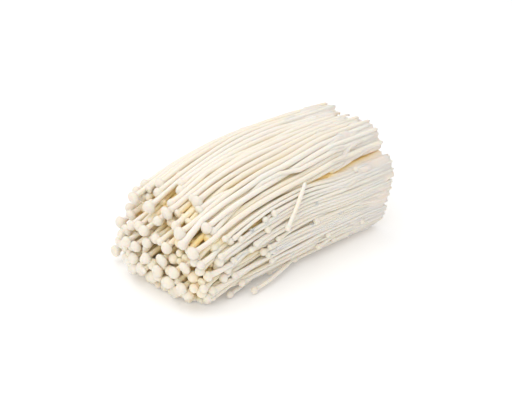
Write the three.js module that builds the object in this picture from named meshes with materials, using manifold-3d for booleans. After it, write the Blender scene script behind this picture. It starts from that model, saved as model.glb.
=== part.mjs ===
// A bunch of enoki mushrooms lying on its side: the caps face -Y and the cut base faces +Y.
// Millimetres, +Z up. The floor is z = 0 and the origin is the middle of the bunch's footprint.
//
// The stems grow together at the base into three clumps. Each clump is one solid: a fused mat at
// the cut end, then a slimmer core that stands for the stems hidden inside the bunch. The
// mushrooms that show lie round the core and in front of it, and each of them is a closed solid.

import * as THREE from "three";
import { mergeVertices } from "three/addons/utils/BufferGeometryUtils.js";
import Module from "manifold-3d";

// The whole bunch
const BASE_Y = 62; // the cut end, before the bunch is centred on the origin
const LENGTH = 134; // from the cut end to the foremost caps
const BASE_HALF_WIDTH = 32;
const FRONT_HALF_WIDTH = 38;
const BASE_CENTRE_X = 3;
const FRONT_CENTRE_X = -3;
const BASE_HEIGHT = 60;
const FRONT_DROOP = 0.49; // the part of the height that is lost at the front, as the stems sag
const UPPER_ROUNDNESS = 2.3; // superellipse exponents: 2 is a circle, and more is boxier
const LOWER_ROUNDNESS = 4.5;
const FLAT_DEPTH = 0.4; // how much of the round underside is flat, where the bunch lies

// The domed front: the foremost caps, and how far short of them the dome's edges stay
const DOME_X = 4;
const DOME_Z = 14;
const DOME_TOP_SHORTER = 21;
const DOME_SIDE_SHORTER = 10;
const DOME_UNDER_SHORTER = 7;

// The clumps
const MAT_LENGTH = 25; // the fused part at the cut end
const SHOULDER_LENGTH = 3;
const CORE_INSET = 3.9; // the room round the core for one layer of stems
const KEEL = 0.12; // how much of the core's underside comes down to the floor
const CORE_FRONT_Y = -26;
const CORE_SIDES = 36;
const RIDGE_DEPTH = 0.5;
const SEAM = 0.6; // the gap between clumps
const SPLIT_X = -13; // between the upper clump and the back clump
const UPPER_CLUMP_SHORTER = 2.5; // how far the cut ends of the clumps are from the lower one's
const BACK_CLUMP_SHORTER = 14;
const FAR_OUT = 100; // the reach of cutting blocks, clear of everything

// The mushrooms
const STEM_RADIUS = 1.4;
const CAP_RADIUS = 3.2;
const YOUNG_STEM_RADIUS = 1.05;
const YOUNG_CAP_RADIUS = 1.5;
const TOUCH_GAP = 0.35; // the least gap between neighbours
const LATHE_SIDES = 7;
const STEM_STEP = 9; // the length of one straight stretch of a bent stem
const WAVE_LENGTH = 105;
const GOLDEN_ANGLE = Math.PI * (3 - Math.sqrt(5));
const ROOT_Y = BASE_Y - MAT_LENGTH - SHOULDER_LENGTH - TOUCH_GAP;

const STEM_CREAM = 0xf6ecd6;
const YOUNG_CREAM = 0xfbf3e0;
const BASE_CREAM = 0xf0e2c4;

const { lerp, clamp } = THREE.MathUtils;
const radians = THREE.MathUtils.degToRad;

const wasm = await Module();
wasm.setup();

// A repeatable random number from 0 to 1 for each pair of whole numbers
function chance(i, j) {
  const noise = Math.sin(i * 127.1 + j * 311.7) * 43758.5453;
  return noise - Math.floor(noise);
}

// ---- The shape of the bunch ----

// How far along the bunch a place is: 0 at the cut end, 1 at the foremost caps
const along = (y) => (BASE_Y - y) / LENGTH;

// The cross-section at y: its middle, half width and half height
function section(y) {
  const s = along(y);
  const halfHeight = (BASE_HEIGHT / 2) * (1 - FRONT_DROOP * s ** 4);
  return {
    x: lerp(BASE_CENTRE_X, FRONT_CENTRE_X, s),
    z: halfHeight - FLAT_DEPTH,
    halfWidth: lerp(BASE_HALF_WIDTH, FRONT_HALF_WIDTH, s),
    halfHeight,
  };
}

// The point of the outline at y, at an angle from +X, moved inwards by inset
function skinPoint(y, angle, inset) {
  const { x, z, halfWidth, halfHeight } = section(y);
  const c = Math.cos(angle);
  const s = Math.sin(angle);
  const n = s > 0 ? UPPER_ROUNDNESS : LOWER_ROUNDNESS;
  const size = (Math.abs(c) ** n + Math.abs(s) ** n) ** (-1 / n);
  const across = (halfWidth - inset) * size * c;
  const up = (halfHeight - inset) * size * s;
  return new THREE.Vector3(x + across, y, z + up);
}

// The y of the domed front at this x and z
function domeY(x, z) {
  const high = Math.max(0, z - DOME_Z) / 33;
  const low = Math.max(0, DOME_Z - z) / DOME_Z;
  const sideways = Math.abs(x - DOME_X) / FRONT_HALF_WIDTH;
  const shorter =
    DOME_TOP_SHORTER * high ** 1.7 +
    DOME_SIDE_SHORTER * sideways ** 4 +
    DOME_UNDER_SHORTER * low ** 2;
  return BASE_Y - LENGTH + shorter;
}

// ---- Solids ----

// A closed mesh through rings that all have the same number of points, with flat ends
function loft(rings) {
  const sides = rings[0].length;
  const last = rings.length - 1;
  const points = rings.flat();
  const index = [];
  for (let r = 0; r < last; r += 1) {
    for (let k = 0; k < sides; k += 1) {
      const a = r * sides + k;
      const b = r * sides + ((k + 1) % sides);
      index.push(a, b, a + sides, b, b + sides, a + sides);
    }
  }
  for (const r of [0, last]) {
    const middle = points.length;
    const centre = new THREE.Vector3();
    for (const point of rings[r]) centre.addScaledVector(point, 1 / sides);
    points.push(centre);
    for (let k = 0; k < sides; k += 1) {
      const a = r * sides + k;
      const b = r * sides + ((k + 1) % sides);
      index.push(middle, ...(r === 0 ? [b, a] : [a, b]));
    }
  }
  const geometry = new THREE.BufferGeometry().setFromPoints(points);
  geometry.setIndex(index);
  return geometry;
}

function toManifold(geometry) {
  geometry.deleteAttribute("normal");
  geometry.deleteAttribute("uv");
  const merged = mergeVertices(geometry);
  const vertProperties = new Float32Array(merged.attributes.position.array);
  const triVerts = new Uint32Array(merged.index.array);
  return new wasm.Manifold(new wasm.Mesh({ numProp: 3, vertProperties, triVerts }));
}

function fromManifold(solid) {
  const { vertProperties, triVerts } = solid.getMesh();
  const geometry = new THREE.BufferGeometry();
  geometry.setAttribute("position", new THREE.BufferAttribute(vertProperties, 3));
  geometry.setIndex(new THREE.BufferAttribute(triVerts, 1));
  return geometry;
}

function block([x0, y0, z0], [x1, y1, z1]) {
  const geometry = new THREE.BoxGeometry(x1 - x0, y1 - y0, z1 - z0);
  geometry.translate((x0 + x1) / 2, (y0 + y1) / 2, (z0 + z1) / 2);
  return toManifold(geometry);
}

// ---- The clumps ----

// How far the core's skin is inside the outline of the bunch: not at all on its flat underside
function coreInset(y, angle) {
  const downShoulder = (BASE_Y - MAT_LENGTH - y) / SHOULDER_LENGTH;
  const offTheKeel = (1 + Math.sin(angle)) / KEEL;
  return CORE_INSET * clamp(downShoulder, 0, 1) * clamp(offTheKeel, 0, 1);
}

// The three clumps in one solid, with ridges where stems have grown together
function wholeCore() {
  const shoulderY = BASE_Y - MAT_LENGTH;
  const stations = [BASE_Y, 50, shoulderY, shoulderY - SHOULDER_LENGTH, 20, 5, -8, -18, CORE_FRONT_Y];
  const rings = stations.map((y) =>
    Array.from({ length: CORE_SIDES }, (_, k) => {
      const angle = (2 * Math.PI * k) / CORE_SIDES;
      const groove = k % 2 ? RIDGE_DEPTH : 0;
      return skinPoint(y, angle, coreInset(y, angle) + groove);
    }),
  );
  const underFloor = block([-FAR_OUT, -FAR_OUT, -FAR_OUT], [FAR_OUT, FAR_OUT, 0]);
  return toManifold(loft(rings)).subtract(underFloor);
}

// The seam under the upper clumps: a thin curved sheet that falls towards the front
function underSeam() {
  const line = new THREE.SplineCurve([
    new THREE.Vector2(BASE_Y + 5, 46.5),
    new THREE.Vector2(40, 45),
    new THREE.Vector2(5, 41),
    new THREE.Vector2(CORE_FRONT_Y - 5, 33),
  ]).getPoints(8);
  const upper = line.map((p) => new THREE.Vector2(p.x, p.y + SEAM / 2));
  const lower = line.map((p) => new THREE.Vector2(p.x, p.y - SEAM / 2));
  const band = new THREE.Shape([...lower, ...upper.reverse()]);
  const sheet = new THREE.ExtrudeGeometry(band, { depth: 2 * FAR_OUT, bevelEnabled: false });
  sheet.translate(0, 0, -FAR_OUT);
  // The band is drawn in the YZ plane, so its X, Y and Z turn to the bunch's Y, Z and X.
  const turn = new THREE.Matrix4().makeBasis(
    new THREE.Vector3(0, 1, 0),
    new THREE.Vector3(0, 0, 1),
    new THREE.Vector3(1, 0, 0),
  );
  return toManifold(sheet.applyMatrix4(turn));
}

function clumps() {
  const parted = wholeCore().subtract(underSeam()).decompose();
  parted.sort((a, b) => a.boundingBox().min[2] - b.boundingBox().min[2]);
  const [lower, above] = parted;
  const nearHalf = block(
    [SPLIT_X + SEAM / 2, -FAR_OUT, 0],
    [FAR_OUT, BASE_Y - UPPER_CLUMP_SHORTER, FAR_OUT],
  );
  const farHalf = block(
    [-FAR_OUT, -FAR_OUT, 0],
    [SPLIT_X - SEAM / 2, BASE_Y - BACK_CLUMP_SHORTER, FAR_OUT],
  );
  return {
    lower_clump: lower,
    upper_clump: above.intersect(nearHalf),
    back_clump: above.intersect(farHalf),
  };
}

// ---- The mushrooms ----

// Half the outline of a straight mushroom that stands on the origin, for a lathe
function mushroomProfile(length, stem, cap) {
  const neck = length - cap * 1.25;
  const steps = Math.max(1, Math.round(neck / STEM_STEP));
  const points = [new THREE.Vector2(0, 0)];
  for (let k = 0; k <= steps; k += 1) {
    points.push(new THREE.Vector2(stem * lerp(1, 0.88, k / steps), (neck * k) / steps));
  }
  points.push(new THREE.Vector2(cap * 0.82, length - cap * 1.15));
  points.push(new THREE.Vector2(cap, length - cap * 0.75));
  points.push(new THREE.Vector2(cap * 0.78, length - cap * 0.22));
  points.push(new THREE.Vector2(0, length));
  return points;
}

// A mushroom bent along a path of points, from its root to the top of its cap
function mushroomGeometry(path, stem, cap) {
  const curve = new THREE.CatmullRomCurve3(path);
  const length = curve.getLength();
  const geometry = new THREE.LatheGeometry(mushroomProfile(length, stem, cap), LATHE_SIDES);
  const position = geometry.attributes.position;
  const up = new THREE.Vector3(0, 0, 1);
  for (let k = 0; k < position.count; k += 1) {
    const share = clamp(position.getY(k) / length, 0, 1);
    const tangent = curve.getTangentAt(share);
    const across = up.clone().cross(tangent).normalize();
    const over = across.clone().cross(tangent);
    const place = curve.getPointAt(share);
    place.addScaledVector(across, position.getX(k)).addScaledVector(over, position.getZ(k));
    position.setXYZ(k, place.x, place.y, place.z);
  }
  geometry.deleteAttribute("normal");
  geometry.deleteAttribute("uv");
  return mergeVertices(geometry, 1e-4);
}

// The path of a mushroom that keeps its own place in the bunch, with a gentle wave: an angle, and
// a depth of 0 in the middle and 1 at the outline. It ends at tipY, or short of the domed front.
function lanePath({ angle, depth, stem, cap, rootY, tipY, shorter, wave, seed }) {
  const phase = 2 * Math.PI * chance(seed, 1);
  const at = (y) => {
    const swing = wave * along(y) * Math.sin((2 * Math.PI * y) / WAVE_LENGTH + phase);
    const skin = skinPoint(y, angle + swing / BASE_HALF_WIDTH, stem + TOUCH_GAP);
    const middle = section(y);
    const lowest = lerp(stem, cap, along(y)) + 0.3;
    const z = Math.max(lowest, lerp(middle.z, skin.z, depth));
    return new THREE.Vector3(lerp(middle.x, skin.x, depth), y, z);
  };
  let end = tipY ?? rootY - 2 * STEM_STEP;
  while (tipY === undefined && end > domeY(at(end).x, at(end).z) + shorter) end -= 0.5;
  const steps = Math.max(3, Math.round((rootY - end) / STEM_STEP));
  return Array.from({ length: steps + 1 }, (_, k) => at(lerp(rootY, end, k / steps)));
}

// ---- The bunch ----

const bunch = new THREE.Group();

function addPiece(name, geometry, color, roughness) {
  geometry.computeVertexNormals();
  const material = new THREE.MeshStandardMaterial({ color, roughness, metalness: 0 });
  const mesh = new THREE.Mesh(geometry, material);
  mesh.name = name;
  bunch.add(mesh);
}

function addMushroom(kind, k, path, stem, cap) {
  const name = `${kind}_mushroom_${String(k + 1).padStart(2, "0")}`;
  const color = stem < STEM_RADIUS ? YOUNG_CREAM : STEM_CREAM;
  addPiece(name, mushroomGeometry(path, stem, cap), color, 0.5);
}

for (const [name, solid] of Object.entries(clumps())) {
  addPiece(name, fromManifold(solid), BASE_CREAM, 0.6);
}

// Long mushrooms over the top: every second one ends a little short of the domed front.
const TOP_COUNT = 10;
for (let k = 0; k < TOP_COUNT; k += 1) {
  const stem = STEM_RADIUS;
  const cap = CAP_RADIUS - 0.5 * chance(k, 2);
  const angle = radians(lerp(34, 134, k / (TOP_COUNT - 1)));
  const shorter = k % 2 ? 5 : -1;
  const lane = { angle, depth: 1, stem, cap, rootY: ROOT_Y, shorter, wave: 0.7, seed: k };
  addMushroom("top", k, lanePath(lane), stem, cap);
}

// Down the far side, each ends this much short of the domed front, and one strays past it.
const FAR_SHORTER = [3, 15, 3, 13, 6, -7, 4];
FAR_SHORTER.forEach((shorter, k) => {
  const stem = STEM_RADIUS;
  const cap = CAP_RADIUS - 0.8 * chance(k, 3);
  const angle = radians(lerp(145, 232, k / (FAR_SHORTER.length - 1)));
  const lane = { angle, depth: 1, stem, cap, rootY: ROOT_Y, shorter, wave: 1.2, seed: 40 + k };
  addMushroom("far", k, lanePath(lane), stem, cap);
});

// Slim young ones down the near side: their small caps end at many different places.
const NEAR_LENGTHS = [113, 84, 118, 71, 100, 57, 92, 110, 47, 104, 66, 96];
NEAR_LENGTHS.forEach((length, k) => {
  const stem = YOUNG_STEM_RADIUS;
  const cap = YOUNG_CAP_RADIUS + 0.3 * chance(k, 4);
  const angle = radians(lerp(26, -51, k / (NEAR_LENGTHS.length - 1)));
  const tipY = BASE_Y - length;
  const lane = { angle, depth: 1, stem, cap, rootY: ROOT_Y, tipY, wave: 0.7, seed: 80 + k };
  addMushroom("near", k, lanePath(lane), stem, cap);
});

// Full-grown caps all over the domed front, spread as evenly as the seeds of a sunflower
const FRONT_COUNT = 21;
for (let k = 0; k < FRONT_COUNT; k += 1) {
  const stem = STEM_RADIUS;
  const cap = CAP_RADIUS - 0.6 * chance(k, 5);
  const angle = GOLDEN_ANGLE * k + 1.2;
  const depth = 0.82 * Math.sqrt((k + 0.5) / FRONT_COUNT);
  const rootY = CORE_FRONT_Y - 2 * TOUCH_GAP;
  const lane = { angle, depth, stem, cap, rootY, shorter: 0, wave: 0.6, seed: 120 + k };
  addMushroom("front", k, lanePath(lane), stem, cap);
}

// Young ones that splay out over the floor on the near side
const SPLAYED = [
  [[31.6, -22, 5.2], [32.3, -36, 3.6], [30.8, -48, 2.3]],
  [[35.9, 4, 7.2], [36.8, -16, 4.8], [35.6, -37, 2.3]],
];
SPLAYED.forEach((points, k) => {
  const path = points.map((point) => new THREE.Vector3(...point));
  addMushroom("splayed", k, path, YOUNG_STEM_RADIUS, YOUNG_CAP_RADIUS + 0.4);
});

// A broken one that lies loose across the near side, cap down
const LOOSE = [[32.9, 0.6, 45.7], [36, -8, 37], [38, -16.9, 28]];
const loosePath = LOOSE.map((point) => new THREE.Vector3(...point));
addMushroom("loose", 0, loosePath, YOUNG_STEM_RADIUS, YOUNG_CAP_RADIUS);

// The origin moves to the middle of the footprint, on the floor.
const bounds = new THREE.Box3().setFromObject(bunch, true);
const middle = bounds.getCenter(new THREE.Vector3());
bunch.position.set(-middle.x, -middle.y, -bounds.min.z);

export default bunch;
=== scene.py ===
# %% [markdown]
# # A bunch of enoki mushrooms
# Enoki grow in a bottle: a few hundred thin stems rise from one fused mat, and each ends in a
# small round cap. This lesson builds a bunch that lies on its side, caps towards -Y. The packed
# CAD model gives the frame: three clumps and the mushrooms that matter most. Every other stem is
# laid out here, between them, so the first step is to load that frame and keep its box.

# %% Load the frame
import math
import bpy
import numpy as np
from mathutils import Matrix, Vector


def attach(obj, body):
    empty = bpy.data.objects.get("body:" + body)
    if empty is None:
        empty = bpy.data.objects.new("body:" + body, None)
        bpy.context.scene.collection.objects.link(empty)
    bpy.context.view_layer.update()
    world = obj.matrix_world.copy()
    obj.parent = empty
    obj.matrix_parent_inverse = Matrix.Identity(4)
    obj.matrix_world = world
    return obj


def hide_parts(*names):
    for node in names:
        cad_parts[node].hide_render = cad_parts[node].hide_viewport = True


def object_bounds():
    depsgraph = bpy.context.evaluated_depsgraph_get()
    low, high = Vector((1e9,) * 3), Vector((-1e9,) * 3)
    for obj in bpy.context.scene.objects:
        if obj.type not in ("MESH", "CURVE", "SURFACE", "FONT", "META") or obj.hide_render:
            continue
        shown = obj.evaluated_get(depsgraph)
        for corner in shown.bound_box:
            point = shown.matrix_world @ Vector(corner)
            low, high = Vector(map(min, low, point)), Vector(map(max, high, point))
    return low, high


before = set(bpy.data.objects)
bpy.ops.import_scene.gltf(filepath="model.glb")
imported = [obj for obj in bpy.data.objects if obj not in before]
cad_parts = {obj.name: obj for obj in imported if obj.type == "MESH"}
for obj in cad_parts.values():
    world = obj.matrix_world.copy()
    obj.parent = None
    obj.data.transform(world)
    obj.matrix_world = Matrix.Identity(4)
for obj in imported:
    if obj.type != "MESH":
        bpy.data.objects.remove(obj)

cad_box = [list(corner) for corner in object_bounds()]
low = [value * 1000 for value in cad_box[0]]
high = [value * 1000 for value in cad_box[1]]
print("CAD box in mm:", [round(v, 1) for v in low], [round(v, 1) for v in high])

# %% [markdown]
# ## Units and chance
# A mushroom stem is under 3 mm thick, so all lengths in this lesson are in millimetres and turn
# to metres only where Blender gets them. One seeded generator draws everything that varies, so
# each run grows the same bunch.

# %% Units and the seeded generator
MM = 0.001
rng = np.random.default_rng(12)


def smooth_step(x):
    """0 below 0, 1 above 1, and an even slope between."""
    x = np.clip(x, 0.0, 1.0)
    return x * x * (3 - 2 * x)


def deselect_all():
    if bpy.context.object and bpy.context.object.mode != "OBJECT":
        bpy.ops.object.mode_set(mode="OBJECT")
    bpy.ops.object.select_all(action="DESELECT")


def select_only(*things):
    deselect_all()
    for thing in things:
        thing.select_set(True)
    bpy.context.view_layer.objects.active = things[0]


# %% [markdown]
# ## The shape of the whole bunch
# Seen from its end, the bunch is a soft box: a superellipse, rounder above than below, where it
# lies on the table. It gets a little wider towards the caps and sags there. A place in it is given
# as two numbers from -1 to 1, across and up, which stay the same all the way along a stem.

# %% The cross-section along the bunch
BASE_Y = high[1]
LENGTH = high[1] - low[1]
BASE_CENTRE_X, FRONT_CENTRE_X = 3.4, -2.6
BASE_HALF_WIDTH, FRONT_HALF_WIDTH = 32.0, 38.0
HALF_HEIGHT = high[2] / 2 + 0.2
DROOP = 0.49
UPPER_ROUNDNESS, LOWER_ROUNDNESS = 2.3, 4.5
UNDERSIDE_FLAT = 0.4
MEAN_RADIUS = 33.0


def along(y):
    """0 at the cut base, 1 at the foremost caps."""
    return (BASE_Y - y) / LENGTH


def section(y):
    """Middle x, middle z, half width and half height of the bunch at y."""
    s = along(y)
    half_height = HALF_HEIGHT * (1 - DROOP * np.abs(s) ** 4)
    middle_x = BASE_CENTRE_X + (FRONT_CENTRE_X - BASE_CENTRE_X) * s
    half_width = BASE_HALF_WIDTH + (FRONT_HALF_WIDTH - BASE_HALF_WIDTH) * s
    return middle_x, half_height - UNDERSIDE_FLAT, half_width, half_height


def place(u, v, y):
    """The point in millimetres of the place (u, v) at y."""
    x, z, half_width, half_height = section(y)
    return x + u * half_width, z + v * half_height


def where(x, z, y):
    """The place (u, v) of a point."""
    middle_x, middle_z, half_width, half_height = section(y)
    return (x - middle_x) / half_width, (z - middle_z) / half_height


def level(u, v):
    """0 in the middle of the bunch and 1 on its outline."""
    n = np.where(v > 0, UPPER_ROUNDNESS, LOWER_ROUNDNESS)
    return (np.abs(u) ** n + np.abs(v) ** n) ** (1 / n)


print("middle section:", [round(float(value), 1) for value in section(0.0)])

# %% [markdown]
# The caps end in a dome. It reaches furthest forward low down in the middle, and falls back towards
# the top, the bottom and both sides, most of all at the far top corner.

# %% The dome of caps at the front
DOME_X, DOME_Z, DOME_HEIGHT = 3.5, 14.0, 33.0
FAR_CORNER, NEAR_CORNER, UNDERCUT = 20, 10, 7


def dome_y(x, z):
    """How far forward the caps reach at x and z."""
    high_up = np.maximum(0, z - DOME_Z) / DOME_HEIGHT
    low_down = np.maximum(0, DOME_Z - z) / DOME_Z
    sideways = np.abs(x - DOME_X) / FRONT_HALF_WIDTH
    corner = np.where(x < DOME_X, FAR_CORNER, NEAR_CORNER)
    crest = np.interp(x, [-28, -4], [27, 20])
    return low[1] + crest * high_up**1.7 + corner * sideways**4 + UNDERCUT * low_down**2


print("foremost and topmost cap at y:", round(float(dome_y(DOME_X, DOME_Z)), 1),
      round(float(dome_y(DOME_X, DOME_Z + DOME_HEIGHT)), 1))

# %% [markdown]
# ## Read the named mushrooms from the CAD model
# Each CAD mushroom is a faceted solid: rings of vertices round a bent line. The vertices sort into
# rings along the solid's long direction, and the middle of each ring is a point of the centre
# line. The last ring is the cap, so this gives the path, the stem's radius and the cap's radius.


# %% Centre lines of the CAD mushrooms
RING_GAP = 2.2


def read_mushroom(node):
    """(path from root to cap top, stem radius, cap radius) of a CAD mushroom, in millimetres."""
    count = len(node.data.vertices)
    points = np.zeros(count * 3)
    node.data.vertices.foreach_get("co", points)
    points = np.unique(np.round(points.reshape(-1, 3) / MM, 3), axis=0)
    middle = points.mean(axis=0)
    long_way = np.linalg.svd(points - middle, full_matrices=False)[2][0]
    reach = (points - middle) @ long_way
    order = np.argsort(reach)
    breaks = np.where(np.diff(reach[order]) > RING_GAP)[0] + 1
    rings = [points[group] for group in np.split(order, breaks)]
    spread = [np.linalg.norm(ring - ring.mean(axis=0), axis=1).max() for ring in rings]
    if spread[0] > spread[-1]:
        rings.reverse()
        long_way = -long_way
    stem_rings, cap_ring = rings[:-1], rings[-1]
    centres = [ring.mean(axis=0) for ring in stem_rings]
    top = cap_ring[np.argmax(cap_ring @ long_way)]
    heading = (top - centres[-1]) / np.linalg.norm(top - centres[-1])
    from_axis = (cap_ring - top) - np.outer((cap_ring - top) @ heading, heading)
    cap_radius = np.linalg.norm(from_axis, axis=1).max()
    middle_ring = stem_rings[len(stem_rings) // 2]
    stem_radius = np.linalg.norm(middle_ring - middle_ring.mean(axis=0), axis=1).max()
    return np.array(centres + [top]), stem_radius, cap_radius


cad_mushrooms = {
    name: read_mushroom(node)
    for name, node in sorted(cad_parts.items())
    if "mushroom" in name
}
for name in ("top_mushroom_01", "near_mushroom_05", "front_mushroom_03", "loose_mushroom_01"):
    path, stem, cap = cad_mushrooms[name]
    print(name, len(path), "points, stem", round(stem, 2), "cap", round(cap, 2), path[-1].round(1))

# %% [markdown]
# ## Lay out every stem
# Only some fifty mushrooms have a name in the CAD model. The rest fill the space between them:
# a skin of stems all round, a second layer that shows in the gaps, and an inner crop whose caps
# fill the domed front. Slim young ones grow down the near side and stop anywhere. Each stem is a
# row of places on evenly spaced planes from the base to the front.

# %% Planes across the bunch, and the seams between the clumps
PLANE_STEP = 2.5
planes = np.arange(BASE_Y, low[1] - PLANE_STEP, -PLANE_STEP)
SPLIT_X = -12.5
TOLD_APART_Y = 45.0
UPPER_SHORTER, BACK_SHORTER = 2.5, 14.0


def seam_z(y):
    """The height of the seam under the upper clumps."""
    return np.interp(y, [-26, 10, 35, 56, BASE_Y], [33, 41.5, 45, 45.5, 49])


def clump_of(u, v):
    """The clump that a stem at (u, v) grows from, told apart near the base."""
    x, z = place(u, v, TOLD_APART_Y)
    if z < seam_z(TOLD_APART_Y):
        return "lower_clump"
    return "upper_clump" if x > SPLIT_X else "back_clump"


def cut_end(clump):
    """The y where a clump was cut."""
    shorter = {"lower_clump": 0, "upper_clump": UPPER_SHORTER, "back_clump": BACK_SHORTER}
    return BASE_Y - shorter[clump]


def torn_end(clump, x):
    """The y where the stem at x was torn off: the slab broke obliquely."""
    if clump == "upper_clump":
        return np.interp(x, [-9, -2, 4, 10, 18, 31], [66.5, 66.3, 59.5, 59.5, 66.6, 66.4])
    return cut_end(clump)


print(planes.size, "planes, seam from", seam_z(low[1]), "to", seam_z(BASE_Y), "mm high")

# %% [markdown]
# A stem keeps its place across and up, apart from two slow waves that make it sway. They are
# weakest at the base, where the stems are fused. Unless it is told where to end, it ends at the
# dome of caps or a little behind it.

# %% One stem's places
stems = []


def wavering(size):
    """A smooth random curve along the planes: two waves that grow towards the front."""
    s = along(planes)
    wave = np.sin(2 * math.pi * (s * rng.uniform(1.2, 2.0) + rng.random()))
    ripple = np.sin(2 * math.pi * (s * rng.uniform(2.6, 4.2) + rng.random()))
    return size * (0.35 + 0.65 * s) * (wave + 0.35 * ripple)


def add_stem(angle, depth, stem, cap, root_y, tip_y=None, shorter=0.0, wave=0.8, grade="full",
             zone="skin"):
    """Adds a stem at an angle in degrees from +X, at a depth of 0 in the middle to 1 outside."""
    turn = math.radians(angle)
    c, s = math.cos(turn), math.sin(turn)
    reach = depth / level(c, s)
    clump = clump_of(reach * c, reach * s)
    sideways = wavering(wave) / MEAN_RADIUS
    inwards = stem / BASE_HALF_WIDTH + np.abs(wavering(wave * 0.4)) / BASE_HALF_WIDTH
    across, up = np.cos(turn + sideways), np.sin(turn + sideways)
    size = np.maximum(0.02, depth - inwards) / level(across, up)
    x, z = place(size * across, size * up, planes)
    if tip_y is None:
        ahead = planes < dome_y(x, z) + shorter
        tip_y = float(planes[np.argmax(ahead)]) if ahead.any() else float(planes[-1])
        tip_y += rng.uniform(0, PLANE_STEP)
    stems.append({
        "name": None, "clump": clump, "zone": zone, "grade": grade, "stem": stem, "cap": cap,
        "root_y": min(root_y, torn_end(clump, x[0]) - rng.uniform(0, 1.2)), "tip_y": tip_y,
        "path": np.stack([x, z], axis=1),
    })


# %% [markdown]
# The named mushrooms come first. Those that run over the outside are grown back from the CAD
# root to the cut base along the same place in the bunch, because a real stem starts at the mat.

# %% The named stems
for name, (path, stem, cap) in cad_mushrooms.items():
    kind = name.split("_")[0]
    if kind in ("loose", "splayed"):
        continue
    order = np.argsort(path[:, 1])
    ys, xs, zs = path[order, 1], path[order, 0], path[order, 2]
    u, v = where(xs[-1], zs[-1], ys[-1])
    x, z = place(u, v, planes)
    inside = planes <= ys[-1]
    x[inside] = np.interp(planes[inside], ys, xs)
    z[inside] = np.interp(planes[inside], ys, zs)
    clump = clump_of(u, v)
    front = kind == "front"
    stems.append({
        "name": name, "clump": clump, "grade": "young" if kind == "near" else "full",
        "stem": stem * 1.04, "cap": min(cap * 1.05, 3.4),
        "root_y": ys[-1] if front else torn_end(clump, x[0]) - 0.4, "tip_y": path[-1][1],
        "path": np.stack([x, z], axis=1),
    })
named_count = len(stems)
print(named_count, "named stems in the bunch")

# %% [markdown]
# The skin goes round the outside in four stretches. On top the stems are thick and long, and a few
# end early. Down the far side they are slimmer, and underneath they are straight and even.

# %% The skin on top, down the far side and underneath
SKIN = {  # number of stems, first angle and span in degrees from +X
    "top": (21, 30, 106), "far": (22, 138, 98), "under": (16, 238, 64), "near": (54, -58, 84),
}


def skin_angles(side):
    """The number and angle of each stem of a stretch of skin, evenly but not exactly spaced."""
    count, first, span = SKIN[side]
    for k in range(count):
        yield k, first + span * (k + rng.uniform(0.2, 0.8)) / count


for k, angle in skin_angles("top"):
    early = rng.random() < 0.12
    cap = rng.uniform(1.6, 2.2) if early else rng.uniform(2.4, 3.2)
    add_stem(angle, rng.uniform(0.96, 1.0), rng.uniform(1.3, 1.7), cap, BASE_Y,
             shorter=rng.uniform(15, 50) if early else rng.uniform(-2, 8), wave=1.5)
for k, angle in skin_angles("far"):
    add_stem(angle, rng.uniform(0.96, 1.0), rng.uniform(1.1, 1.4), rng.uniform(1.9, 3.0), BASE_Y,
             shorter=rng.uniform(0, 30), wave=1.4, zone="far")
for k, angle in skin_angles("under"):
    add_stem(angle, 0.98, rng.uniform(1.2, 1.5), rng.uniform(2.4, 3.1), BASE_Y,
             shorter=rng.uniform(0, 8), wave=0.8, zone="under")
print(len(stems) - named_count, "stems in the skin so far")

# %% [markdown]
# The near side is different. Two stems in five are full grown, and the rest are thin young pins
# that stopped growing at any length. A few of them end in a row low down, just above the table.

# %% The skin down the near side
FULL_GROWN_IN_FIVE = 2
for k, angle in skin_angles("near"):
    if k % 5 < FULL_GROWN_IN_FIVE:
        add_stem(angle, rng.uniform(0.96, 0.99), rng.uniform(1.15, 1.55), rng.uniform(2.2, 3.1),
                 BASE_Y, shorter=rng.uniform(0, 16), wave=1.2, zone="near")
        continue
    length = rng.choice([rng.uniform(18, 50), rng.uniform(50, 85), rng.uniform(85, 112)])
    add_stem(angle, rng.uniform(0.97, 1.0), rng.uniform(0.75, 1.1), rng.uniform(1.3, 1.9), BASE_Y,
             tip_y=BASE_Y - length, wave=1.0, grade="young", zone="near")

for tip_y in (-17.0, -2.0, 14.0, 30.0, 41.0):
    add_stem(rng.uniform(-57, -49), 1.0, rng.uniform(0.85, 1.0), rng.uniform(1.5, 1.8), BASE_Y,
             tip_y=tip_y, wave=0.5, grade="young", zone="near")
print(len(stems) - named_count, "stems in the whole skin")

# %% [markdown]
# Behind the skin, a second layer shows in the gaps. The inner crop is spread over the whole section
# like seeds in a sunflower, by the golden angle, which leaves neither rows nor holes. Only its
# front half is grown, because the rest is inside the mat.

# %% The second layer and the inner crop
SECOND_LAYER, INNER_CROP = 58, 64
INNER_ROOT_Y = -4.0
GOLDEN_ANGLE = 180 * (3 - math.sqrt(5))
for k in range(SECOND_LAYER):
    angle = 360 * (k + rng.uniform(0.1, 0.9)) / SECOND_LAYER
    add_stem(angle, rng.uniform(0.88, 0.92), rng.uniform(1.15, 1.5), rng.uniform(2.0, 3.1), BASE_Y,
             shorter=rng.uniform(1, 16), wave=1.2, zone="second")
for k in range(INNER_CROP):
    angle = GOLDEN_ANGLE * k + 20
    depth = 0.82 * math.sqrt((k + 0.5) / INNER_CROP)
    cap = rng.uniform(1.7, 2.2) if rng.random() < 0.2 else rng.uniform(2.8, 3.5)
    add_stem(angle, depth, rng.uniform(1.2, 1.5), cap, INNER_ROOT_Y,
             shorter=rng.uniform(-1, 8), wave=1.3, zone="inner")
print(len(stems), "stems in all")

# %% [markdown]
# ## Let the stems settle
# Laid out by rule and chance, many stems would pass through each other. Real ones press on each
# other until each has its own room. So do these: on every plane, two that overlap push each other
# apart, the push is evened out along each stem, which is stiff, and nothing leaves the bunch or
# goes under the table. The named stems keep close to their CAD places.


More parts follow.
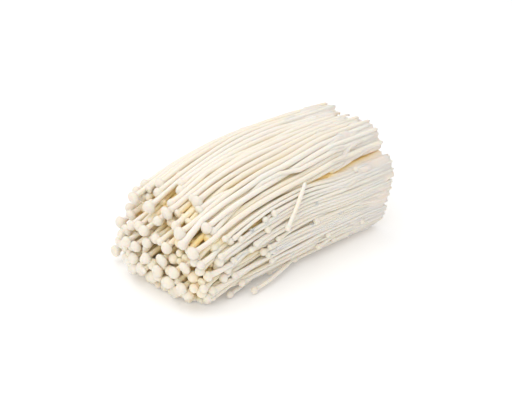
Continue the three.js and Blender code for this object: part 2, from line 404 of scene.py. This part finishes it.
# %% Push stems apart, even out the push and keep them in
PUSH_STRENGTH = 0.55
NAMED_GIVE = 0.15
TABLE_GAP = 0.15


def stem_widths():
    """The radius of each stem, or of its cap, on each plane, and whether it is there at all."""
    widths = np.zeros((len(stems), planes.size))
    there = np.zeros((len(stems), planes.size), bool)
    for i, stem in enumerate(stems):
        behind = planes - stem["tip_y"]
        in_cap = behind < 1.3 * stem["cap"]
        widths[i] = np.where(in_cap, stem["cap"], stem["stem"])
        there[i] = (behind > -0.5 * PLANE_STEP) & (planes < stem["root_y"] + PLANE_STEP)
    return widths, there


def push_apart(paths, widths, there, give, fused):
    """Moves the stems that overlap on a plane away from each other."""
    for j in range(planes.size):
        on = np.where(there[:, j])[0]
        apart = paths[on, None, j] - paths[None, on, j]
        distance = np.linalg.norm(apart, axis=2) + 1e-6
        overlap = (widths[on, None, j] + widths[None, on, j]) * fused[j] - distance
        overlap = np.maximum(0, overlap) * (1 - np.eye(on.size))
        share = give[on, None] / (give[on, None] + give[None, on])
        push = ((share * overlap / distance)[..., None] * apart).sum(axis=1)
        paths[on, j] += PUSH_STRENGTH * push


def evened_out(shift, weight):
    """The shifts averaged with those of the planes before and behind, where the stem is there."""
    total = np.pad(weight, ((0, 0), (1, 1)))[..., None]
    weights = total[:, :-2] + 2 * total[:, 1:-1] + total[:, 2:]
    for _ in range(2):
        padded = np.pad(shift * weight[..., None], ((0, 0), (1, 1), (0, 0)))
        summed = padded[:, :-2] + 2 * padded[:, 1:-1] + padded[:, 2:]
        shift = np.where(weights > 0, summed / np.maximum(weights, 1e-6), shift)
    return shift


def kept_inside(paths, widths, free):
    """The paths with the free stems pulled inside the outline, and none under the table."""
    u, v = where(paths[..., 0], paths[..., 1], planes)
    most = 1 - widths * 0.8 / MEAN_RADIUS
    pull = np.minimum(1, most / np.maximum(level(u, v), 1e-6))
    pull = np.where(free[:, None], pull, 1)
    x, z = place(u * pull, v * pull, planes)
    return np.stack([x, np.maximum(z, widths + TABLE_GAP)], axis=2)


# %% Let them settle, round by round
def settle(rounds):
    """Settles every stem, and gives the mean distance that they moved."""
    widths, there = stem_widths()
    paths = np.array([stem["path"] for stem in stems])
    start = paths.copy()
    free = np.arange(len(stems)) >= named_count
    give = np.where(free, 1.0, NAMED_GIVE)
    fused = 0.92 - 0.2 * smooth_step((planes - 22) / 30)
    for _ in range(rounds):
        push_apart(paths, widths, there, give, fused)
        paths = start + evened_out(paths - start, there.astype(float))
        paths = kept_inside(paths, widths, free)
    for stem, path in zip(stems, paths):
        stem["path"] = path
    return np.abs(paths - start).mean()


print("mean shift in mm:", round(float(settle(45)), 2))

# %% [markdown]
# ## Open the seam between the clumps
# Two bunches were laid together: the upper clumps rest on the lower one like a slab. On the near
# side the slab's edge overhangs a narrow gap, and below it the lower clump bulges out. Towards the
# base both are squarer than the outline drawn so far. One small shift of each place does it all.

# %% Shift places to part the clumps
def bump(x, start, peak, end):
    """Rises from 0 at start to 1 at peak and falls to 0 at end."""
    return smooth_step((x - start) / (peak - start)) * smooth_step((end - x) / (end - peak))


def part(x, z, y, clump):
    """The place in millimetres after the clumps have been parted."""
    u, v = where(x, z, y)
    outside = smooth_step((level(u, v) - 0.55) / 0.4)
    back = smooth_step((y - 2) / 34)
    near = smooth_step((u - 0.35) / 0.4) * back * outside
    above = z - seam_z(y)
    if clump == "lower_clump":
        dx = near * 3.4 * bump(z, 12, 36, 50)
        dz = -near * 3.2 * smooth_step((above + 9) / 9)
    else:
        dx = near * 0.6 * smooth_step((10 - above) / 10)
        dz = near * 0.5 * smooth_step((8 - above) / 8)
    shoulders = bump(u, 0.1, 0.68, 1.05) * back * 3.4 + bump(-u, -0.05, 0.35, 1.0) * 2.0
    dz = dz + shoulders * smooth_step((v - 0.2) / 0.5) * smooth_step((y + 40) / 40)
    return x + dx, z + dz


furthest = 0.0
for stem in stems:
    x, z = stem["path"].T
    parted = np.column_stack(part(x, z, planes, stem["clump"]))
    furthest = max(furthest, float(np.abs(parted - stem["path"]).max()))
    stem["path"] = parted
print("parting moved a stem by up to", round(furthest, 1), "mm")

# %% [markdown]
# ## Model one mushroom of each kind
# A mushroom is round, so it could be turned on a lathe with the Spin operator. Extruding a circle
# upwards, ring by ring, and scaling each ring gives the same form and lets the number of rings
# be few on the stem and many on the cap. Three caps are enough: a button, an older one with a
# dimple, and the pin of a young one. Every mushroom of the bunch is a copy of one of them. The
# fourth shape is a stub with no cap, for the fused base.

# %% Ring by ring: a helper that models a mushroom standing on the origin
MODEL_STEM, MODEL_CAP, MODEL_LENGTH = 1.3, 3.0, 60.0
CAP_SHAPES = {  # height above the neck and radius, both in cap radii
    "button": [(0.0, 0.60), (0.14, 0.94), (0.55, 1.04), (0.98, 0.88), (1.30, 0.48), (1.40, 0.0)],
    "dimpled": [(-0.04, 0.66), (0.10, 0.98), (0.48, 1.05), (0.84, 0.88), (0.94, 0.50), (0.78, 0.0)],
    "pin": [(0.0, 0.66), (0.18, 0.97), (0.62, 1.05), (1.08, 0.88), (1.42, 0.48), (1.52, 0.0)],
    "stub": [(0.25, 0.75), (0.45, 0.0)],
}


def model_mushroom(name, cap_shape, sides, stem_steps):
    """A mushroom that stands on the origin, extruded ring by ring from a circle."""
    deselect_all()
    radius = MODEL_STEM * MM
    bpy.ops.mesh.primitive_circle_add(vertices=sides, radius=radius, fill_type="NGON",
                                      location=(0, 0, 0))
    model = bpy.context.object
    model.name = name
    bpy.ops.object.mode_set(mode="EDIT")
    bpy.ops.mesh.select_all(action="SELECT")
    height = 0.0
    rings = [(MODEL_LENGTH * (k + 1) / stem_steps, MODEL_STEM) for k in range(stem_steps)]
    rings += [(MODEL_LENGTH + up * MODEL_CAP, wide * MODEL_CAP) for up, wide in cap_shape]
    for ring_height, ring_radius in rings:
        step = (0, 0, (ring_height - height) * MM)
        bpy.ops.mesh.extrude_region_move(TRANSFORM_OT_translate={"value": step})
        if ring_radius == 0:
            bpy.ops.mesh.merge(type="CENTER")
            break
        grow = ring_radius * MM / radius
        bpy.ops.transform.resize(value=(grow, grow, 1), center_override=(0, 0, 0))
        height, radius = ring_height, ring_radius * MM
    bpy.ops.mesh.select_all(action="SELECT")
    bpy.ops.mesh.normals_make_consistent(inside=False)
    bpy.ops.object.mode_set(mode="OBJECT")
    bpy.ops.object.shade_smooth()
    loose_ends = [edge for edge in model.data.edges if edge.is_loose]
    print(name, len(model.data.polygons), "faces,", len(loose_ends), "loose edges")
    return model


# %% The models: few faces for the many, more for the named ones
DETAIL = {"many": (8, 5), "named": (10, 12)}  # sides, and rings along the stem
models = {}
for shape, cap_shape in CAP_SHAPES.items():
    for detail, (sides, stem_steps) in DETAIL.items():
        if (shape, detail) != ("stub", "named"):
            models[shape, detail] = model_mushroom(f"model_{shape}_{detail}", cap_shape, sides,
                                                   stem_steps)

# %% [markdown]
# ## Bend a copy along each path
# A copy gets its own length and thickness first: the stem's part is stretched and the cap's part
# only scaled. Then the Curve modifier bends it along a curve through its settled places. The
# radius of each curve point makes the stem swell and narrow a little, as real ones do.

# %% Fit a copy to its length and thickness
CAP_HEIGHT = 1.4  # in cap radii
stems_made = []


def fitted_copy(model, length, stem, cap, name):
    """A copy of a model with its own length and radii, in millimetres."""
    piece = model.copy()
    piece.data = model.data.copy()
    piece.name = piece.data.name = name
    points = np.zeros(len(piece.data.vertices) * 3)
    piece.data.vertices.foreach_get("co", points)
    points = points.reshape(-1, 3) / MM
    in_cap = points[:, 2] > MODEL_LENGTH + 0.01
    under_cap = np.abs(points[:, 2] - MODEL_LENGTH - CAP_SHAPES["dimpled"][0][0] * MODEL_CAP) < 0.01
    in_cap |= under_cap
    neck = max(length - CAP_HEIGHT * cap, 0.3 * length)
    crown = in_cap.astype(float)
    height = np.where(in_cap, neck + (points[:, 2] - MODEL_LENGTH) * cap / MODEL_CAP,
                      points[:, 2] * neck / MODEL_LENGTH)
    wide = np.where(in_cap, cap / MODEL_CAP, stem / MODEL_STEM)
    points = np.column_stack([points[:, 0] * wide, points[:, 1] * wide, height])
    piece.data.vertices.foreach_set("co", (points * MM).ravel())
    layer = piece.data.attributes.new("crown", "FLOAT", "POINT")
    layer.data.foreach_set("value", crown)
    tint = piece.data.attributes.new("tint", "FLOAT", "POINT")
    tint.data.foreach_set("value", np.full(len(points), rng.random()))
    bpy.context.scene.collection.objects.link(piece)
    return piece


# %% Bend a copy along its path
def bend(piece, path, taper=1.0):
    """Bends a standing mushroom along a path of points in millimetres, from root to cap."""
    curve = bpy.data.curves.new(piece.name + "_path", "CURVE")
    curve.dimensions = "3D"
    curve.twist_mode = "MINIMUM"
    line = curve.splines.new("POLY")
    line.points.add(len(path) - 1)
    wave = np.linspace(0, rng.uniform(6, 16), len(path)) + rng.uniform(0, 6)
    swell = taper + 0.07 * np.sin(wave)
    for point, place_mm, radius in zip(line.points, path, swell):
        point.co = (*(place_mm * MM), 1)
        point.radius = radius
    guide = bpy.data.objects.new(piece.name + "_path", curve)
    bpy.context.scene.collection.objects.link(guide)
    rounder = piece.modifiers.new("round", "SUBSURF")
    rounder.levels = rounder.render_levels = 1
    bender = piece.modifiers.new("bend", "CURVE")
    bender.object = guide
    bender.deform_axis = "POS_Z"
    return guide


print("shapes to copy:", ", ".join(CAP_SHAPES))

# %% [markdown]
# The young stems of the near side lean out a little at their tips, so their caps stand clear. The
# splayed ones start from inside the bunch: their roots are led back to it and smoothed.

# %% Grow every mushroom
TIP_LEAN, LEANING_LENGTH = 1.3, 9


def path_of(stem):
    """The settled path of a stem from root to cap top, in millimetres."""
    inside = (planes < stem["root_y"] - 0.8) & (planes > stem["tip_y"] + 0.8)
    ys = np.concatenate([[stem["root_y"]], planes[inside], [stem["tip_y"]]])
    x = np.interp(-ys, -planes, stem["path"][:, 0])
    z = np.interp(-ys, -planes, stem["path"][:, 1])
    if stem.get("zone") == "near" and stem["grade"] == "young":
        x = x + TIP_LEAN * smooth_step(1 - (ys - stem["tip_y"]) / LEANING_LENGTH)
    return np.column_stack([x, ys, z])


def grow(stem, path):
    """A bent mushroom for one stem of the layout: the piece and its guide curve."""
    detail = "named" if stem["name"] else "many"
    shape = "pin" if stem["grade"] == "young" else ("dimpled" if rng.random() < 0.22 else "button")
    length = np.linalg.norm(np.diff(path, axis=0), axis=1).sum()
    name = stem["name"] + "_grown" if stem["name"] else f"stem_{len(stems_made):03d}"
    piece = fitted_copy(models[shape, detail], length, stem["stem"], stem["cap"], name)
    guide = bend(piece, path)
    stems_made.append((stem, piece))
    return guide


def led_back(path):
    """The front half of a splayed path, with a smooth root that starts inside the bunch."""
    path = path[len(path) // 2:]
    bunch = np.array([25.0, path[0][1] + 20, 5.5])
    path = np.vstack([bunch + (-2, 12, 1), bunch, path])
    for _ in range(3):
        path[1:-1] = (path[:-2] + 2 * path[1:-1] + path[2:]) / 4
    return path


guides = [grow(stem, path_of(stem)) for stem in stems]
for name, (path, stem_radius, cap_radius) in cad_mushrooms.items():
    if name.startswith(("loose", "splayed")):
        stem = {"name": name, "clump": "lower_clump", "grade": "young",
                "stem": stem_radius * 1.04, "cap": cap_radius}
        if name.startswith("splayed"):
            path = led_back(path)
        steps = np.linspace(0, len(path) - 1, 24)
        fine = [np.interp(steps, np.arange(len(path)), path[:, k]) for k in range(3)]
        guides.append(grow(stem, np.column_stack(fine)))
print(len(guides), "guide curves")

# %% Apply the bends of all the mushrooms together
select_only(*[piece for _, piece in stems_made])
bpy.ops.object.convert(target="MESH")
for guide in guides:
    bpy.data.objects.remove(guide)
faces = sum(len(piece.data.polygons) for _, piece in stems_made)
print(len(stems_made), "mushrooms,", faces, "faces")

# %% [markdown]
# ## Fuse the base
# At the base the stems have grown into one mat, and further in they touch all round. Thick short
# stubs along the same paths, joined and remeshed with small voxels, melt together in the same
# way: their rows stay as ridges, and their uneven ends become the lumpy cut face. The inner stubs
# are the thickest, so that they fill the middle, and they run forward to just behind the caps.

# %% Stubs along the stems
MAT_FRONT_Y = 4.0
INNER_STUB, SECOND_STUB, SKIN_STUB = 4.4, 3.0, 1.75


def stub(path, radius, name, taper=1.0):
    """A short thick piece of stem along a path, not yet fused, and its guide."""
    length = np.linalg.norm(np.diff(path, axis=0), axis=1).sum()
    piece = fitted_copy(models["stub", "many"], length, radius, radius, name)
    return piece, bend(piece, path, taper)


def mat_stub(stem, number):
    """The fused part of one stem; it sinks into the mat towards its front end."""
    inner = stem.get("zone") == "inner" or (stem["name"] or "").startswith("front")
    front = stem["tip_y"] + rng.uniform(14, 19) if inner else MAT_FRONT_Y + rng.uniform(-14, 14)
    ragged = rng.uniform(0, 1.2) + (rng.random() < 0.15) * rng.uniform(0, 2.5) + 0.8 * inner
    ys = np.linspace(torn_end(stem["clump"], stem["path"][0, 0]) - ragged, front, 8)
    x = np.interp(-ys, -planes, stem["path"][:, 0])
    z = np.interp(-ys, -planes, stem["path"][:, 1])
    u, v = where(x, z, ys)
    sink = 1 if inner else np.interp(ys, [front, 20, BASE_Y], [0.92, 0.95, 0.985])
    x, z = place(u * sink, v * sink, ys)
    outer = SECOND_STUB if stem.get("zone") == "second" else SKIN_STUB
    radius = INNER_STUB if inner else outer
    taper = np.interp(ys, [-50, -22], [0.62, 1.0]) if inner else 1.0
    return stub(np.column_stack([x, ys, z]), radius, f"stub_{number:03d}", taper)


print("mat stubs are", 2 * SKIN_STUB, "to", 2 * INNER_STUB, "mm thick")

# %% [markdown]
# Thin strands cross the outside of the mat at small angles, where skin has torn and stuck down
# again. In the seam between the two bunches lies a ragged layer of torn stems, seen edge on.

# %% Strands on the mat, and torn stems in the seam
MIDDLE_STEMS = 18
FIBRES = {"lower_clump": 80, "upper_clump": 80, "back_clump": 24}


def surface_fibre(clump, number):
    """A thin strand that crosses the mat's outside at a small angle."""
    skins = [stem for stem in stems if stem["clump"] == clump and stem.get("zone") != "inner"
             and not (stem["name"] or "").startswith("front")]
    stem = skins[rng.integers(len(skins))]
    start = cut_end(clump) - 0.5 - 26 * rng.random() ** 1.5
    ys = np.linspace(start, start - rng.uniform(9, 24), 6)
    x = np.interp(-ys, -planes, stem["path"][:, 0])
    z = np.interp(-ys, -planes, stem["path"][:, 1])
    u, v = where(x, z, ys)
    turn = np.linspace(0, rng.uniform(-0.10, 0.10), 6)
    sink = np.array([0.97, 1.02, 1.03, 1.02, 0.99, 0.94])
    turned_u = (u * np.cos(turn) - v * np.sin(turn)) * sink
    turned_v = (u * np.sin(turn) + v * np.cos(turn)) * sink
    x, z = place(turned_u, turned_v, ys)
    path = np.column_stack([x, ys, np.maximum(z, 1.0)])
    return stub(path, rng.uniform(0.6, 1.1), f"fibre_{number:03d}")


def middle_layer(number):
    """A torn stem of the ragged layer that shows in the seam."""
    ys = np.linspace(BASE_Y - rng.uniform(0, 4), rng.uniform(-5, 25), 8)
    x = rng.uniform(2, 20) + rng.uniform(-1.5, 1.5) * np.linspace(0, 1, 8)
    z = seam_z(ys) - rng.uniform(0.8, 2.4)
    return stub(np.column_stack([x, ys, z]), rng.uniform(1.2, 1.9), f"middle_{number:03d}")


print(sum(FIBRES.values()), "strands and", MIDDLE_STEMS, "torn stems to come")

# %% [markdown]
# The Remesh modifier makes one skin round everything that is joined, and it drops what is inside.
# Its voxels are finer than a strand, and two rounds of smoothing take their stair steps away.

# %% Remesh into one solid for each clump
VOXEL = 0.7
SMOOTHING_ROUNDS = 2


def fuse(name, clump):
    """The mat of one clump, fused from its stubs and strands."""
    members = [stem for stem in stems if stem["clump"] == clump]
    made = [mat_stub(stem, k) for k, stem in enumerate(members)]
    made += [surface_fibre(clump, k) for k in range(FIBRES[clump])]
    if clump == "lower_clump":
        made += [middle_layer(k) for k in range(MIDDLE_STEMS)]
    select_only(*[piece for piece, _ in made])
    bpy.ops.object.convert(target="MESH")
    bpy.ops.object.join()
    mat = bpy.context.object
    mat.name = mat.data.name = name
    for _, guide in made:
        bpy.data.objects.remove(guide)
    remesh = mat.modifiers.new("fuse", "REMESH")
    remesh.mode = "VOXEL"
    remesh.voxel_size = VOXEL * MM
    bpy.ops.object.modifier_apply(modifier="fuse")
    soften = mat.modifiers.new("soften", "SMOOTH")
    soften.factor, soften.iterations = 0.5, SMOOTHING_ROUNDS
    bpy.ops.object.modifier_apply(modifier="soften")
    bpy.ops.object.shade_smooth()
    print(name, len(made), "stubs,", len(mat.data.polygons), "faces")
    return mat


mats = {clump: fuse(clump.replace("clump", "mat"), clump)
        for clump in ("lower_clump", "upper_clump", "back_clump")}
for model in models.values():
    bpy.data.objects.remove(model)

# %% [markdown]
# ## Join the unnamed stems
# Hundreds of loose objects would be hard to handle, so the unnamed stems are joined by clump and
# by where they grow. The named ones stay separate, as they are in the CAD model.

# %% Join by clump and place
bundles = {}
for stem, piece in stems_made:
    if stem["name"] is None:
        key = f"{stem['clump'].split('_')[0]}_{stem['zone']}_stems"
        bundles.setdefault(key, []).append((stem, piece))
joined = {}
for key, members in bundles.items():
    select_only(*[piece for _, piece in members])
    bpy.ops.object.join()
    bundle = bpy.context.object
    bundle.name = bundle.data.name = key
    joined[key] = (members[0][0], bundle)
    print(key, len(members), "stems,", len(bundle.data.polygons), "faces")

# %% [markdown]
# ## How deep each place lies, which sets the painted shade
# Deep places get painted shade: their colour turns darker and golden. It stands in for the shade in
# the gaps and for light that has passed through flesh, which lets yellow through better than blue.
# Each vertex gets its depth under the outside of the bunch in millimetres, for the materials to
# read.

# %% Depth under the outside, kept as an attribute for the painted shade
SEAM_PAINTED_SHADOW = 3.2  # painted shadow along the edge of the seam, added as depth in millimetres


def add_layer(piece, name, values):
    layer = piece.data.attributes.new(name, "FLOAT", "POINT")
    layer.data.foreach_set("value", values)


def mark_depth(piece, clump):
    """Gives each vertex its depth, which sets the painted shade, with a painted shadow along the
    seam, and how much it belongs to the cut face.
    """
    points = np.zeros(len(piece.data.vertices) * 3)
    piece.data.vertices.foreach_get("co", points)
    x, y, z = (points.reshape(-1, 3) / MM).T
    u, v = where(x, z, y)
    under_skin = (1 - level(u, v)) * MEAN_RADIUS
    behind_caps = (y - dome_y(x, z)) * 0.6
    from_cut = (torn_end(clump, x) - y) * 0.8
    depth = np.clip(np.minimum(np.minimum(under_skin, behind_caps), from_cut), 0, 12)
    # less painted shade on the open ledge where the back clump was cut shorter
    open_ledge = smooth_step((y - cut_end("back_clump") + 3) / 3) * smooth_step((SPLIT_X + 4 - x) / 4)
    # a painted shadow along the edge of the seam, under the slab's overhang
    seam_shadow_mask = smooth_step((4.5 - np.abs(z - seam_z(y) + 1.0)) / 4)
    seam_shadow_mask = seam_shadow_mask * smooth_step((under_skin - 1.0) / 2.5)
    depth = depth * (1 - 0.9 * open_ledge) + SEAM_PAINTED_SHADOW * seam_shadow_mask * smooth_step((u - 0.2) / 0.3)
    cut = smooth_step((y - torn_end(clump, x) + 5.0) / 3.0) * smooth_step((under_skin - 1.0) / 3.0)
    add_layer(piece, "painted_shade_depth", depth)
    add_layer(piece, "cut", cut)


finished = [(piece, stem["clump"], stem["grade"], stem["name"])
            for stem, piece in stems_made if stem["name"]]
finished += [(bundle, stem["clump"], stem["grade"], None) for stem, bundle in joined.values()]
finished += [(mat, clump, "base", clump) for clump, mat in mats.items()]
for piece, clump, grade, node in finished:
    mark_depth(piece, clump)
print(len(finished), "pieces marked")

# %% [markdown]
# ## The flesh
# Enoki flesh is cream white, a little translucent, moist and satin, with very fine fibres along
# the stem. The colour comes from each mushroom's own tint and from soft blotches, and painted shade
# by depth makes the gaps darker and golden; the fibres are a noise stretched along Y, the way all
# stems run.

# %% Helpers that each add a node or two
def add_node(tree, kind, **settings):
    made = tree.nodes.new(kind)
    for key, value in settings.items():
        setattr(made, key, value)
    return made


def mixed(tree, factor, one, other):
    """One colour at factor 0 and the other at 1; each is a constant or a socket."""
    mix = add_node(tree, "ShaderNodeMix", data_type="RGBA")
    tree.links.new(factor, mix.inputs["Factor"])
    for socket, value in ((mix.inputs[6], one), (mix.inputs[7], other)):
        if isinstance(value, tuple):
            socket.default_value = (*value, 1)
        else:
            tree.links.new(value, socket)
    return mix.outputs[2]


def ranged(tree, value, low_end, high_end, to_low=0.0, to_high=1.0):
    """A value fitted smoothly from one range to another."""
    fit = add_node(tree, "ShaderNodeMapRange", interpolation_type="SMOOTHSTEP")
    tree.links.new(value, fit.inputs["Value"])
    for key, number in (("From Min", low_end), ("From Max", high_end),
                        ("To Min", to_low), ("To Max", to_high)):
        fit.inputs[key].default_value = number
    return fit.outputs["Result"]


def noise(tree, scale, stretch=(1, 1, 1)):
    """Noise in Object coordinates, which are metres here, stretched if need be."""
    coordinates = add_node(tree, "ShaderNodeTexCoord").outputs["Object"]
    mapping = add_node(tree, "ShaderNodeMapping")
    mapping.inputs["Scale"].default_value = stretch
    tree.links.new(coordinates, mapping.inputs["Vector"])
    made = add_node(tree, "ShaderNodeTexNoise")
    made.inputs["Scale"].default_value = scale
    made.inputs["Detail"].default_value = 3.0
    tree.links.new(mapping.outputs["Vector"], made.inputs["Vector"])
    return made.outputs["Fac"]


def marked(tree, name):
    """What a vertex attribute says."""
    return add_node(tree, "ShaderNodeAttribute", attribute_name=name).outputs["Fac"]


# %% [markdown]
# The colour is built up in layers, each mixed over the last: the mushroom's own tint, blotches,
# fibres, a duller cap, painted shade in the shallow gaps, painted golden shade deeper down, and the
# cut face over all. Some light is scattered under the surface, red further than blue, which keeps
# the cream from looking chalky.

# %% The flesh material
# The second colour is painted shade for the shallow gaps between stems.
CAP_CREAM, PAINTED_GROOVE_SHADE, CUT_FLESH = (0.83, 0.775, 0.68), (0.94, 0.81, 0.58), (0.80, 0.68, 0.50)
BLOTCH_SCALE, FIBRE_SCALE = 140, 2400


def flesh(name, pale, warm, painted_golden_shade, roughness, fibre):
    """Moist mushroom flesh with painted shade in its gaps; fibre is how strongly the fibres show.
    """
    material = bpy.data.materials.new(name)
    material.use_nodes = True
    tree = material.node_tree
    shader = tree.nodes["Principled BSDF"]
    blotches = noise(tree, BLOTCH_SCALE)
    fibres = noise(tree, FIBRE_SCALE, (1, 0.05, 1))
    painted_shade_depth = marked(tree, "painted_shade_depth")
    colour = mixed(tree, ranged(tree, marked(tree, "tint"), 0, 1, 0, 0.55), pale, warm)
    colour = mixed(tree, ranged(tree, blotches, 0.5, 0.8, 0, 0.5), colour, warm)
    colour = mixed(tree, ranged(tree, fibres, 0.35, 0.75, 0, fibre), colour, warm)
    colour = mixed(tree, ranged(tree, marked(tree, "crown"), 0, 1, 0, 0.8), colour, CAP_CREAM)
    # painted shade: the shallow gaps darker and warmer, by depth
    colour = mixed(tree, ranged(tree, painted_shade_depth, 0.5, 3.0, 0, 0.65), colour, PAINTED_GROOVE_SHADE)
    # painted golden shade: the deep gaps darker and golden, by depth
    colour = mixed(tree, ranged(tree, painted_shade_depth, 2.4, 6.5), colour, painted_golden_shade)
    colour = mixed(tree, ranged(tree, marked(tree, "cut"), 0.1, 1.0, 0, 0.8), colour, CUT_FLESH)
    gloss = ranged(tree, blotches, 0.3, 0.7, roughness - 0.06, roughness + 0.08)
    relief = add_node(tree, "ShaderNodeBump")
    relief.inputs["Strength"].default_value = 0.35
    relief.inputs["Distance"].default_value = 0.12 * MM
    tree.links.new(fibres, relief.inputs["Height"])
    tree.links.new(colour, shader.inputs["Base Color"])
    tree.links.new(gloss, shader.inputs["Roughness"])
    tree.links.new(relief.outputs["Normal"], shader.inputs["Normal"])
    shader.inputs["Subsurface Weight"].default_value = 0.55
    shader.inputs["Subsurface Radius"].default_value = (1.0, 0.75, 0.5)
    shader.inputs["Subsurface Scale"].default_value = 1.8 * MM
    shader.inputs["Specular IOR Level"].default_value = 0.35
    shader.inputs["IOR"].default_value = 1.4
    return material


# %% [markdown]
# Three finishes share that recipe: full-grown stems and caps, the slightly greyer young ones, and
# the rougher base, where the fibres show most.

# %% The three finishes
# The third colour is painted golden shade for the deep gaps.
PALE, WARM, GOLDEN_PAINTED_SHADE = (0.905, 0.85, 0.78), (0.90, 0.80, 0.66), (0.98, 0.75, 0.37)
YOUNG_PALE, BASE_PALE, BASE_WARM = (0.89, 0.83, 0.76), (0.845, 0.775, 0.70), (0.83, 0.73, 0.61)
finishes = {
    "full": ("mushroom_flesh", flesh("mushroom_flesh", PALE, WARM, GOLDEN_PAINTED_SHADE, 0.42, 0.35)),
    "young": ("young_mushroom_flesh", flesh("young_flesh", YOUNG_PALE, WARM, GOLDEN_PAINTED_SHADE, 0.40, 0.25)),
    "base": ("fused_base", flesh("fused_base", BASE_PALE, BASE_WARM, GOLDEN_PAINTED_SHADE, 0.5, 0.5)),
}
print("finishes:", ", ".join(finishes))

# %% Dress every piece and fix it to the frame
for piece, clump, grade, node in finished:
    slot, material = finishes[grade]
    piece.data.materials.clear()
    piece.data.materials.append(material)
    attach(piece, "root")
    if node:
        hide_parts(node)
print(len(finished), "pieces")

# %% [markdown]
# ## Floor, light and camera
# The bunch lies on a plain white floor under a bright even sky. Three large soft lamps, one above,
# one from the far side and one low in front, leave only a faint shadow where it lies. The floor
# glows very slightly, so that it stays white.

# %% Floor
deselect_all()
bpy.ops.mesh.primitive_plane_add(size=6.0, location=(0, 0, 0))
floor = bpy.context.object
floor.name = "floor"
floor_paint = bpy.data.materials.new("white_floor")
floor_paint.use_nodes = True
paint = floor_paint.node_tree.nodes["Principled BSDF"]
paint.inputs["Base Color"].default_value = (0.97, 0.97, 0.97, 1)
paint.inputs["Roughness"].default_value = 0.35
paint.inputs["Emission Color"].default_value = (1.0, 1.0, 1.0, 1)
paint.inputs["Emission Strength"].default_value = 0.12
floor.data.materials.append(floor_paint)
print("floor made")

# %% Light
scene = bpy.context.scene
world = bpy.data.worlds.new("sky")
world.use_nodes = True
world.node_tree.nodes["Background"].inputs["Color"].default_value = (1.0, 1.0, 1.0, 1)
world.node_tree.nodes["Background"].inputs["Strength"].default_value = 0.62
scene.world = world
scene.view_settings.view_transform = "Standard"


def direction(azimuth, elevation):
    """The direction from the bunch at these angles in degrees; azimuth 0 is in front, at -Y."""
    a, e = math.radians(azimuth), math.radians(elevation)
    return np.array([math.sin(a) * math.cos(e), -math.cos(a) * math.cos(e), math.sin(e)])


def add_lamp(name, azimuth, elevation, distance, size, power):
    """A square soft lamp that faces the bunch: metres and watts."""
    deselect_all()
    place_of_lamp = tuple(direction(azimuth, elevation) * distance)
    bpy.ops.object.light_add(type="AREA", location=place_of_lamp)
    lamp = bpy.context.object
    lamp.name = name
    lamp.data.size = size
    lamp.data.energy = power
    lamp.rotation_euler = lamp.location.to_track_quat("Z", "Y").to_euler()
    print(name, "lamp,", power, "W")


add_lamp("window", -60, 62, 1.4, 1.2, 3.0)
add_lamp("ceiling", -60, 86, 1.3, 2.0, 7.6)
add_lamp("fill", 30, 32, 1.3, 0.8, 3.6)

# %% Camera
AZIMUTH, ELEVATION, DISTANCE, LENS = 46.0, 25.0, 0.6, 85.0
AIM = (0.0004, 0.0052, 0.0256)
camera_data = bpy.data.cameras.new("camera")
camera_data.lens = LENS
camera = bpy.data.objects.new("camera", camera_data)
scene.collection.objects.link(camera)
camera.location = tuple(np.array(AIM) + direction(AZIMUTH, ELEVATION) * DISTANCE)
camera.rotation_euler = (math.radians(90 - ELEVATION), 0, math.radians(AZIMUTH))
scene.camera = camera
print("camera at", [round(value, 3) for value in camera.location])
